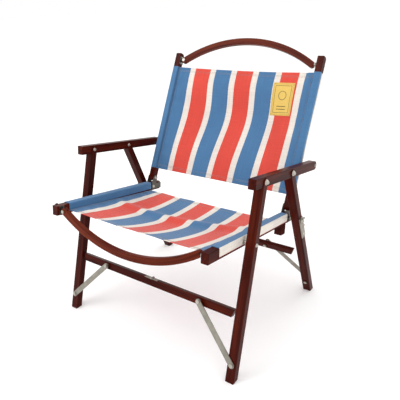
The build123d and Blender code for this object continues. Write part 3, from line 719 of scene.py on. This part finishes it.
def sleevePiece(
    name, profile, side, middle, low, high, put, startU, step, centre, facing, nodeName, body, rows=110
):
    lengths = runLengths(profile)
    flatWidth = lengths[-1]

    def place(i, j):
        k = min(len(profile) - 1, round(j * (len(profile) - 1)))
        across, up = profile[k]
        t = low + (high - low) * i
        puff = 0.00035 * max(0.0, clothNoise(t * 2, k * 0.4, side, 0.05))
        grow = 1 + puff / 0.011
        return put(side * (middle + across * grow), t, up * grow)

    def flat(i, j):
        k = min(len(profile) - 1, round(j * (len(profile) - 1)))
        return (side * (startU + step * lengths[k]) - centre, (high - low) * i)

    piece = clothSheet(name, rows, len(profile) - 1, place, facing(side), 0.0012, clothMaterial, flat)
    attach(piece, body)
    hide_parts(nodeName)
    return piece, flatWidth


railMiddle = (railInnerX + railOuterX) / 2
saddle = saddleProfile(
    seatCover["railWidth"] / 2 + 0.0002,
    seatCover["railHalf"] + 0.0002,
    seatCover["drop"],
    seatCover["corner"],
)
tube = tubeProfile(backCover["halfWidth"] + 0.0002, backCover["halfDepth"] + 0.0002, backCover["corner"])

seatPanel = clothSheet(
    "seatPanel", 120, 170, seatPlace, railUp, seatCover["thickness"], clothMaterial, seatUv
)
backPanel = clothSheet(
    "backPanel", 120, 170, backPlace, uprightFront, backCover["thickness"], clothMaterial, backUv
)
print("panels made")


def upFacing(side):
    return railUp


def innerFacing(side):
    return Vector((-side, 0, 0))


sleeves = {}
for side, word, name in ((-1, "left", "Left"), (1, "right", "Right")):
    # The flat place of the sleeve carries on from the panel's edge.
    seatStart = panelHalf * 1.006 + runLengths(saddle)[-1] - seatCover["drop"]
    sleeves["seat" + name], seatWrap = sleevePiece(
        f"seatSleeve{name}",
        saddle,
        side,
        railMiddle,
        seatCover["hemFront"],
        seatCover["hemRear"],
        railPoint,
        seatStart,
        -1,
        seatCover["redCentre"],
        upFacing,
        f"seat_sleeve_{word}",
        f"{word}_frame",
    )
    backStartU = backHalf * 1.008
    sleeves["back" + name], backWrap = sleevePiece(
        f"backSleeve{name}",
        tube,
        side,
        uprightX,
        backCover["hemLow"],
        backCover["hemHigh"],
        backPoint,
        backStartU,
        1,
        backCover["redCentre"],
        innerFacing,
        f"back_sleeve_{word}",
        f"back_{word}",
    )

for piece, body, nodeName in (
    (seatPanel, "left_frame", "seat_panel"),
    (backPanel, "back_left", "back_panel"),
):
    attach(piece, body)
    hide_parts(nodeName)

foldAnchorSeat = (-panelHalf, 0, 0)
foldAnchorBack = (-backHalf, 0, 0)
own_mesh(seatPanel)
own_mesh(backPanel)
print("canvas made")


def patchPlace(i, j):
    x = patchLook["centre"] + patchLook["width"] * (j - 0.5)
    t = patchLook["level"] + patchLook["height"] * (i - 0.5)
    return backPoint(x, t, backCover["front"] - backDepth(x, t) + patchLook["lift"])


def patchUv(i, j):
    return (patchLook["width"] * j, patchLook["height"] * i)


patch = clothSheet(
    "backPatch", 46, 34, patchPlace, uprightFront, patchLook["thickness"], yellowPatch, patchUv
)
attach(patch, "back_left")
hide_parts("back_patch")
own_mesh(patch)
print("patch made")


class Geometry:
    # Small helper for a Geometry Nodes tree whose inputs are set by socket identifier.
    def __init__(self, name, inputs):
        self.tree = bpy.data.node_groups.new(name, "GeometryNodeTree")
        face = self.tree.interface
        face.new_socket("Geometry", in_out="INPUT", socket_type="NodeSocketGeometry")
        self.sockets = {}
        for label, kind, value in inputs:
            socket = face.new_socket(label, in_out="INPUT", socket_type=kind)
            if value is not None:
                socket.default_value = value
            self.sockets[label] = socket.identifier
        face.new_socket("Geometry", in_out="OUTPUT", socket_type="NodeSocketGeometry")
        self.source = self.tree.nodes.new("NodeGroupInput")
        self.result = self.tree.nodes.new("NodeGroupOutput")

    def add(self, kind, joined=None, **values):
        node = self.tree.nodes.new(kind)
        for label, value in values.items():
            setattr(node, label, value)
        for label, value in (joined or {}).items():
            if isinstance(value, bpy.types.NodeSocket):
                self.tree.links.new(value, node.inputs[label])
            else:
                node.inputs[label].default_value = value
        return node

    def end(self, instances):
        real = self.add("GeometryNodeRealizeInstances", {"Geometry": instances})
        named = {"Geometry": real.outputs[0], "Material": self.source.outputs["Material"]}
        finished = self.add("GeometryNodeSetMaterial", named)
        self.tree.links.new(finished.outputs[0], self.result.inputs[0])

    def apply(self, piece, settings):
        modifier = piece.modifiers.new("build", "NODES")
        modifier.node_group = self.tree
        for label, value in settings.items():
            modifier[self.sockets[label]] = value
        return applyModifiers(piece)


stitchLook = {
    "length": 0.0027,
    "pitch": 0.0040,
    "radius": 0.00032,
    "rise": 0.0008,
    "seed": 11,
    "spread": 0.12,
}


def stitchTree():
    # Threads that arch out of the cloth, one after another along a line.
    floats = [(label, "NodeSocketFloat", None) for label in ("Length", "Pitch", "Radius", "Rise", "Spread")]
    extra = [("Facing", "NodeSocketVector", None), ("Seed", "NodeSocketInt", None)]
    tree = Geometry("stitches", floats + extra + [("Material", "NodeSocketMaterial", None)])
    given = tree.source.outputs
    line = tree.add("GeometryNodeMeshToCurve", {"Mesh": given["Geometry"]})
    joined = {"Curve": line.outputs[0], "Length": given["Pitch"]}
    even = tree.add("GeometryNodeResampleCurve", joined, mode="LENGTH")
    half = tree.add("ShaderNodeMath", {0: given["Length"], 1: 0.5}, operation="MULTIPLY")
    back = tree.add("ShaderNodeMath", {0: given["Length"], 1: -0.5}, operation="MULTIPLY")
    ends = [tree.add("ShaderNodeCombineXYZ", {"X": part.outputs[0]}) for part in (back, half)]
    crown = tree.add("ShaderNodeCombineXYZ", {"Z": given["Rise"]})
    arch = tree.add(
        "GeometryNodeCurveQuadraticBezier",
        {"Resolution": 5, "Start": ends[0].outputs[0], "Middle": crown.outputs[0], "End": ends[1].outputs[0]},
    )
    joined = {"Resolution": 6, "Radius": given["Radius"]}
    ring = tree.add("GeometryNodeCurvePrimitiveCircle", joined, mode="RADIUS")
    joined = {"Curve": arch.outputs[0], "Profile Curve": ring.outputs[0], "Fill Caps": True}
    thread = tree.add("GeometryNodeCurveToMesh", joined)
    tangent = tree.add("GeometryNodeInputTangent")
    turned = tree.add("FunctionNodeAlignRotationToVector", {"Vector": tangent.outputs[0]}, axis="X")
    joined = {"Rotation": turned.outputs[0], "Vector": given["Facing"]}
    faced = tree.add("FunctionNodeAlignRotationToVector", joined, axis="Z", pivot_axis="X")
    joined = {"Points": even.outputs[0], "Instance": thread.outputs[0], "Rotation": faced.outputs[0]}
    placed = tree.add("GeometryNodeInstanceOnPoints", joined)
    low = tree.add("ShaderNodeMath", {0: 1.0, 1: given["Spread"]}, operation="SUBTRACT")
    high = tree.add("ShaderNodeMath", {0: 1.0, 1: given["Spread"]}, operation="ADD")
    joined = {2: low.outputs[0], 3: high.outputs[0], "Seed": given["Seed"]}
    size = tree.add("FunctionNodeRandomValue", joined, data_type="FLOAT")
    joined = {"Instances": placed.outputs[0], "Scale": size.outputs[1]}
    scaled = tree.add("GeometryNodeScaleInstances", joined)
    tree.end(scaled.outputs[0])
    return tree


stitches = stitchTree()


def sew(name, lines, facing, material, body, squashed=None):
    verts, edges = [], []
    for line in lines:
        first = len(verts)
        verts += [tuple(point) for point in line]
        edges += [(k, k + 1) for k in range(first, len(verts) - 1)]
    mesh = bpy.data.meshes.new(name)
    mesh.from_pydata(verts, edges, [])
    piece = bpy.data.objects.new(name, mesh)
    bpy.context.scene.collection.objects.link(piece)
    labels = ("Length", "Pitch", "Radius", "Rise", "Spread", "Seed")
    settings = {label: stitchLook[label.lower()] for label in labels}
    stitches.apply(piece, {**settings, "Facing": tuple(facing), "Material": material})
    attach(piece, body)
    if squashed:
        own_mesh(piece)
    return piece


def sampled(count, start, end, point):
    return [point(start + (end - start) * k / count) for k in range(count + 1)]


sewing = {"hemInset": 0.010, "hemRows": 0.0035, "side": 0.0035, "proud": 0.0013, "patchInset": 0.0035}
proud = sewing["proud"]
seatLow, seatHigh = seatCover["hemFront"], seatCover["hemRear"]
backLow, backHigh = backCover["hemLow"], backCover["hemHigh"]


def onSeat(x, s):
    i = (s - seatLow) / (seatHigh - seatLow)
    return seatPlace(i, (x + panelHalf) / (2 * panelHalf)) + railUp * proud


def onBack(x, t):
    i = (t - backLow) / (backHigh - backLow)
    return backPlace(i, (x + backHalf) / (2 * backHalf)) + uprightFront * proud


seatLines, backLines = [], []
for row in (0, sewing["hemRows"]):
    inset = sewing["hemInset"] + row
    for s in (seatLow + inset, seatHigh - inset):
        seatLines.append(sampled(160, -panelHalf + 0.002, panelHalf - 0.002, lambda x: onSeat(x, s)))
    for t in (backLow + inset, backHigh - inset):
        backLines.append(sampled(160, -backHalf + 0.002, backHalf - 0.002, lambda x: onBack(x, t)))
for side in (-1, 1):
    edge = side * (panelHalf - sewing["side"])
    seatLines.append(sampled(120, seatLow + 0.002, seatHigh - 0.002, lambda s: onSeat(edge, s)))
    edge = side * (backHalf - sewing["side"])
    backLines.append(sampled(120, backLow + 0.002, backHigh - 0.002, lambda t: onBack(edge, t)))
inset = sewing["patchInset"]
xs = [patchLook["centre"] + k * (patchLook["width"] / 2 - inset) for k in (-1, 1)]
ts = [patchLook["level"] + k * (patchLook["height"] / 2 - inset) for k in (-1, 1)]
corners = [(xs[0], ts[0]), (xs[1], ts[0]), (xs[1], ts[1]), (xs[0], ts[1]), (xs[0], ts[0])]
patchLines = []
for start, end in zip(corners, corners[1:]):
    lift = uprightFront * (patchLook["lift"] + patchLook["thickness"] - proud + 0.0002)
    ends = (Vector(start), Vector(end))
    patchLines.append(sampled(24, 0, 1, lambda k: onBack(*ends[0].lerp(ends[1], k)) + lift))
sew("seatStitches", seatLines, railUp, threadPale, "left_frame", foldAnchorSeat)
sew("backStitches", backLines, uprightFront, threadPale, "back_left", foldAnchorBack)
sew("patchStitches", patchLines, uprightFront, threadOchre, "back_left", foldAnchorBack)
print("stitches made")

hardware = {
    "seed": 5,
    "segments": 28,
    "capRadius": 0.0053,
    "capHeight": 0.0056,
    "washerRadius": 0.0070,
    "washerHeight": 0.0010,
    "screwRadius": 0.0026,
    "screwHeight": 0.0009,
    "nutHeight": 0.003,
    "endNutHeight": 0.006,
}


def lathe(radiusHeights, segments):
    # Turned shape about +Z, closed at both ends; the first and last points lie on the axis.
    verts = [(0, 0, radiusHeights[0][1])]
    for radius, height in radiusHeights[1:-1]:
        for k in range(segments):
            a = 2 * math.pi * k / segments
            verts.append((radius * math.cos(a), radius * math.sin(a), height))
    verts.append((0, 0, radiusHeights[-1][1]))
    rings, last = len(radiusHeights) - 2, len(verts) - 1
    faces = [(0, 1 + (k + 1) % segments, 1 + k) for k in range(segments)]
    for ring in range(rings - 1):
        low, high = 1 + ring * segments, 1 + (ring + 1) * segments
        for k in range(segments):
            after = (k + 1) % segments
            faces.append((low + k, low + after, high + after, high + k))
    top = 1 + (rings - 1) * segments
    faces += [(top + k, top + (k + 1) % segments, last) for k in range(segments)]
    return verts, faces


def capProfile(look):
    # Washer with a domed cap nut on it.
    edge, thick = look["washerRadius"], look["washerHeight"]
    cap, height = look["capRadius"], look["capHeight"]
    points = [(0, -0.0002), (edge, -0.0002), (edge, thick * 0.7), (edge - 0.0003, thick), (cap, thick)]
    points += [(cap, thick + height * 0.35)]
    for k in range(1, 7):
        a = math.radians(15 * k)
        reach = cap * 0.92 * math.cos(a) if k < 6 else 0
        points.append((reach, thick + height * (0.38 + 0.62 * math.sin(a))))
    return points


def screwProfile(look):
    radius, height = look["screwRadius"], look["screwHeight"]
    rim = [(0, -0.0006), (radius, -0.0006), (radius, height * 0.3), (radius * 0.7, height)]
    return rim + [(0.0006, height * 0.95), (0, height * 0.35)]


def headTree(name):
    # One head on each point, turned a random amount about its own axis.
    kinds = {"Head": "NodeSocketObject", "Seed": "NodeSocketInt", "Material": "NodeSocketMaterial"}
    tree = Geometry(name, [(label, kind, None) for label, kind in kinds.items()])
    given = tree.source.outputs
    points = tree.add("GeometryNodeMeshToPoints", {"Mesh": given["Geometry"]})
    head = tree.add("GeometryNodeObjectInfo", {"Object": given["Head"]})
    normal = tree.add("GeometryNodeInputNamedAttribute", {"Name": "facing"}, data_type="FLOAT_VECTOR")
    turned = tree.add("FunctionNodeAlignRotationToVector", {"Vector": normal.outputs[0]}, axis="Z")
    joined = {"Points": points.outputs[0], "Rotation": turned.outputs[0]}
    joined["Instance"] = head.outputs["Geometry"]
    placed = tree.add("GeometryNodeInstanceOnPoints", joined)
    spin = tree.add("FunctionNodeRandomValue", {2: 0.0, 3: 6.28, "Seed": given["Seed"]}, data_type="FLOAT")
    angles = tree.add("ShaderNodeCombineXYZ", {"Z": spin.outputs[1]})
    joined = {"Instances": placed.outputs[0], "Rotation": angles.outputs[0], "Local Space": True}
    spun = tree.add("GeometryNodeRotateInstances", joined)
    tree.end(spun.outputs[0])
    return tree


heads = headTree("heads")


def headObject(name, profile):
    verts, faces = lathe(profile, hardware["segments"])
    piece = newObject(name, verts, faces, steelBright)
    piece.hide_render = True
    return piece


capShape = headObject("capShape", capProfile(hardware))
screwShape = headObject("screwShape", screwProfile(hardware))


def fitHeads(name, shape, places, material, body):
    # places holds (point, facing) pairs, and every head rides on one body.
    mesh = bpy.data.meshes.new(name)
    mesh.from_pydata([tuple(point) for point, facing in places], [], [])
    attribute = mesh.attributes.new("facing", "FLOAT_VECTOR", "POINT")
    for item, (point, facing) in zip(attribute.data, places):
        item.vector = tuple(facing)
    piece = bpy.data.objects.new(name, mesh)
    bpy.context.scene.collection.objects.link(piece)
    heads.apply(piece, {"Head": shape, "Seed": hardware["seed"], "Material": material})
    for polygon in piece.data.polygons:
        polygon.use_smooth = True
    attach(piece, body)


def looseParts(node):
    # Boxes of the separate solids in one node.
    mesh = node.data
    group = list(range(len(mesh.vertices)))

    def root(k):
        while group[k] != k:
            group[k] = group[group[k]]
            k = group[k]
        return k

    for edge in mesh.edges:
        group[root(edge.vertices[0])] = root(edge.vertices[1])
    places = {}
    for vertex in mesh.vertices:
        places.setdefault(tuple(round(c, 6) for c in vertex.co), []).append(vertex.index)
    for same in places.values():
        for other in same[1:]:
            group[root(other)] = root(same[0])
    clusters = {}
    for vertex in mesh.vertices:
        clusters.setdefault(root(vertex.index), []).append(vertex.co)
    boxes = []
    for points in clusters.values():
        low = Vector(min(p[k] for p in points) for k in range(3))
        high = Vector(max(p[k] for p in points) for k in range(3))
        boxes.append((low, high))
    return boxes


for side, word in ((-1, "left"), (1, "right")):
    places = []
    for low, high in looseParts(nodes[f"arm_bolts_{word}"]):
        middle = (low + high) / 2
        outer = max(abs(low.x), abs(high.x)) - hardware["nutHeight"]
        places.append((Vector((side * outer, middle.y, middle.z)), Vector((side, 0, 0))))
    fitHeads(f"armCaps{word.title()}", capShape, places, steelBright, f"{word}_frame")
places = []
for low, high in looseParts(nodes["front_hinge_bolts"]):
    middle = (low + high) / 2
    seatX = low.x + hardware["endNutHeight"]
    places.append((Vector((seatX, middle.y, middle.z)), Vector((-1, 0, 0))))
fitHeads("railEndCaps", capShape, places, blackNut, "left_frame")
leafHeads = {"places": (0.0095, 0.0175)}
for row in ("front", "rear"):
    for side, word in ((-1, "left"), (1, "right")):
        top = frontLegDir if row == "front" else rearLegDir
        leaf = nodes[f"{row}_hinge_leaf_{word}"].data.vertices
        flat = [v.co for v in leaf if abs(v.co.x) > 0.008]
        height = max(p.dot(top) for p in flat)
        plate = [p for p in flat if p.dot(top) > height - 0.0001]
        middle = sum(plate, Vector()) / len(plate)
        spots = [(Vector((side * x, middle.y, middle.z)), top) for x in leafHeads["places"]]
        name = f"{row}LeafScrews{word.title()}"
        fitHeads(name, screwShape, spots, steelBright, f"{row}_bar_{word}")
wingNut = {
    "hub": ((0.0055, 0.0), (0.0055, 0.0012), (0.0046, 0.0030), (0.0036, 0.0050)),
    "outline": ((0.0020, 0.0012), (0.0070, 0.0018), (0.0112, 0.0038), (0.0130, 0.0072), (0.0118, 0.0096)),
    "inner": ((0.0095, 0.0092), (0.0066, 0.0066), (0.0026, 0.0050)),
    "halfThick": 0.0011,
    "bevel": 0.0004,
}


def wingNutPiece(name, side, middle, look):
    # Tapered hub with a thin rounded wing on either side, standing off the leg plate.
    hub = [(0, look["hub"][0][1])] + list(look["hub"]) + [(0, look["hub"][-1][1])]
    verts, faces = lathe(hub, 32)
    loop = list(look["outline"]) + list(look["inner"])
    for turn in (1, -1):
        first, count = len(verts), len(loop)
        for y in (-look["halfThick"], look["halfThick"]):
            verts += [(turn * x, turn * y, z) for x, z in loop]
        faces.append(tuple(first + k for k in range(count)))
        faces.append(tuple(first + count + k for k in reversed(range(count))))
        for k in range(count):
            after = (k + 1) % count
            faces.append((first + after, first + k, first + count + k, first + count + after))
    # Local +Z points away from the chair's side and the wings stand upright
    turned = Matrix(((0, 0, side), (0, 1, 0), (side, 0, 0))).transposed()
    if turned.determinant() < 0:
        faces = [tuple(reversed(face)) for face in faces]
    points = [turned @ Vector(v) + middle for v in verts]
    piece = newObject(name, points, faces, steelBright)
    bevel = piece.modifiers.new("rounded", "BEVEL")
    bevel.width, bevel.segments, bevel.limit_method = look["bevel"], 2, "ANGLE"
    return applyModifiers(piece)


for side, word in ((-1, "left"), (1, "right")):
    low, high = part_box(f"wing_nut_{word}")
    middle = (Vector(low) + Vector(high)) / 2
    middle.x = side * min(abs(low[0]), abs(high[0]))
    nut = wingNutPiece(f"wingNut{word.title()}", side, middle, wingNut)
    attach(nut, f"wing_nut_{word}")
    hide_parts(f"wing_nut_{word}")
for shape in (capShape, screwShape):
    bpy.data.objects.remove(shape)
print("hardware made")

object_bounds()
lists = [[list(corner) for corner in bounds] for bounds in (cadBounds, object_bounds())]
